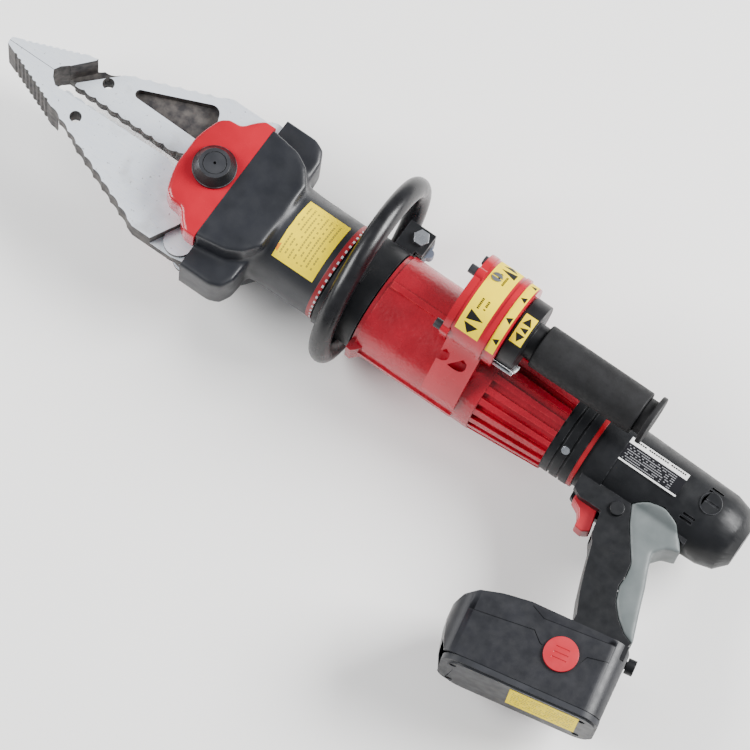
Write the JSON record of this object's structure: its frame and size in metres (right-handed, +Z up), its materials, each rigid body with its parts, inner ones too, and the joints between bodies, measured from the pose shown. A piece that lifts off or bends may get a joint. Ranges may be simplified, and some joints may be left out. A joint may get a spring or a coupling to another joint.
{
  "type": "rescue spreader",
  "caption": "Battery-powered hand-held rescue spreader with serrated arms that open about a pivot, a ring carrying handle, a raised twist grip and a pistol-grip motor drive.",
  "frame": {"origin": "on the ground, under the middle of the tool's length and width, with the tool level on the lowest point of its ring handle", "axes": "+X along the tool towards the tips of the arms, +Y towards the pistol grip and the battery, +Z up, along the axis of the arms' pivot"},
  "size_m": [0.709, 0.3172, 0.1826],
  "materials": {
    "ground_steel": "ground",
    "bronze": "satin",
    "bright_steel": "satin",
    "dark_steel": "satin",
    "machined_steel": "machined",
    "seal_rubber": "matte",
    "red_gloss": "glossy",
    "red_paint": "glossy textured paint",
    "black_satin": "satin",
    "red_mark": "satin",
    "handle_black": "satin",
    "knob_grey": "satin",
    "chrome": "polished",
    "grip_rubber": "matte",
    "black_plastic": "satin",
    "grey_rubber": "matte",
    "iron": "laminated",
    "copper": "wound",
    "red_plastic": "satin",
    "battery_plastic": "satin",
    "cell_blue": "glossy"
  },
  "bodies": {
    "tool": {"head_housing": "black_satin", "cover_upper": "red_gloss", "cover_lower": "red_gloss", "pivot_bolt": "dark_steel", "pivot_nut": "dark_steel", "pivot_cap_upper": "black_plastic", "pivot_cap_lower": "black_plastic", "rod_gland": "machined_steel", "cylinder_barrel": "black_satin", "trim_ring": "red_mark", "pump_housing": "red_paint", "pump_bearings": "bright_steel", "pump_plungers": "bright_steel", "valve_body": "red_gloss", "valve_screws": "dark_steel", "valve_plug": "machined_steel", "stop_plate": "chrome", "adapter": "black_satin", "adapter_screws": "bright_steel", "drive_ring": "red_mark", "motor_shell_upper": "black_plastic", "motor_shell_lower": "black_plastic", "grip_overmould": "grey_rubber", "motor_stator": "iron", "gearbox": "iron", "brush_caps": "black_plastic", "switch_unit": "black_plastic"},
    "left_arm": {"arm_left": "ground_steel", "bush_left": "bronze", "lug_pin_left": "bright_steel"},
    "right_arm": {"arm_right": "ground_steel", "bush_right": "bronze", "lug_pin_right": "bright_steel"},
    "left_link": {"link_left": "bright_steel"},
    "right_link": {"link_right": "bright_steel"},
    "ram": {"crosshead": "machined_steel", "crosshead_pins": "bright_steel", "piston_rod": "chrome", "piston": "machined_steel", "piston_seal": "seal_rubber"},
    "handle": {"carrying_handle": "handle_black", "handle_collar": "black_satin", "collar_screw": "bright_steel"},
    "knob": {"star_knob": "knob_grey"},
    "twist_grip": {"valve_spool": "bright_steel", "twist_collar": "black_plastic", "grip_core": "machined_steel", "grip_rubber": "grip_rubber", "grip_flange": "black_plastic"},
    "rotor": {"motor_rotor": "copper", "motor_fan": "black_plastic"},
    "shaft": {"pump_shaft": "bright_steel"},
    "trigger_piece": {"trigger": "red_plastic"},
    "direction_piece": {"direction_button": "black_plastic"},
    "battery": {"battery_case": "battery_plastic", "battery_base": "battery_plastic", "battery_cells": "cell_blue", "battery_screws": "bright_steel"},
    "release_upper": {"release_button_upper": "red_plastic"},
    "release_lower": {"release_button_lower": "red_plastic"}
  },
  "joints": [
    {"name": "arm_left_hinge", "type": "hinge", "parent": "tool", "child": "left_arm", "pos_m": [0.1545, -0.05873, 0.06785], "axis": [0, 0, 1], "range_deg": [0, 25]},
    {"name": "arm_right_hinge", "type": "hinge", "parent": "tool", "child": "right_arm", "pos_m": [0.1545, -0.05873, 0.06785], "axis": [0, 0, -1], "range_deg": [0, 25]},
    {"name": "ram_slide", "type": "slide", "parent": "tool", "child": "ram", "axis": [1, 0, 0], "range_m": [0, 0.02579]},
    {"name": "left_link_pin", "type": "hinge", "parent": "left_arm", "child": "left_link", "pos_m": [0.1385, -0.11573, 0.06785], "axis": [0, 0, 1], "range_deg": [-25.5, 0]},
    {"name": "right_link_pin", "type": "hinge", "parent": "right_arm", "child": "right_link", "pos_m": [0.1385, -0.00173, 0.06785], "axis": [0, 0, -1], "range_deg": [-25.5, 0]},
    {"name": "handle_swivel", "type": "hinge", "parent": "tool", "child": "handle", "pos_m": [0.0095, -0.05873, 0.06785], "axis": [1, 0, 0], "range_deg": [-30, 30]},
    {"name": "knob_turn", "type": "hinge", "parent": "handle", "child": "knob", "pos_m": [-0.007, -0.11773, 0.05285], "axis": [0, 0, 1], "continuous": true},
    {"name": "grip_twist", "type": "hinge", "parent": "tool", "child": "twist_grip", "pos_m": [-0.1855, -0.07973, 0.14285], "axis": [1, 0, 0], "range_deg": [-30, 30], "stiffness_Nm_per_rad": 0.6},
    {"name": "rotor_spin", "type": "hinge", "parent": "tool", "child": "rotor", "pos_m": [-0.2895, -0.05873, 0.06785], "axis": [1, 0, 0], "continuous": true},
    {"name": "shaft_spin", "type": "hinge", "parent": "tool", "child": "shaft", "pos_m": [-0.1255, -0.05873, 0.06785], "axis": [1, 0, 0], "continuous": true},
    {"name": "trigger_pull", "type": "slide", "parent": "tool", "child": "trigger_piece", "axis": [-1, 0, 0], "range_m": [0, 0.006], "stiffness_N_per_m": 800},
    {"name": "direction_push", "type": "slide", "parent": "tool", "child": "direction_piece", "axis": [0, 0, 1], "range_m": [-0.003, 0.003]},
    {"name": "battery_slide", "type": "slide", "parent": "tool", "child": "battery", "axis": [-0.1908, 0.9816, 0], "range_m": [0, 0.045]},
    {"name": "release_upper_push", "type": "slide", "parent": "battery", "child": "release_upper", "axis": [0, 0, -1], "range_m": [0, 0.002], "stiffness_N_per_m": 1500},
    {"name": "release_lower_push", "type": "slide", "parent": "battery", "child": "release_lower", "axis": [0, 0, 1], "range_m": [0, 0.002], "stiffness_N_per_m": 1500}
  ],
  "couplings": [
    {"joint": "arm_right_hinge", "follows": "arm_left_hinge", "ratio": 1},
    {"joint": "ram_slide", "follows": "arm_left_hinge", "m_per_rad": 0.058644},
    {"joint": "left_link_pin", "follows": "arm_left_hinge", "ratio": -1},
    {"joint": "right_link_pin", "follows": "arm_left_hinge", "ratio": -1},
    {"joint": "shaft_spin", "follows": "rotor_spin", "ratio": 0.1}
  ]
}
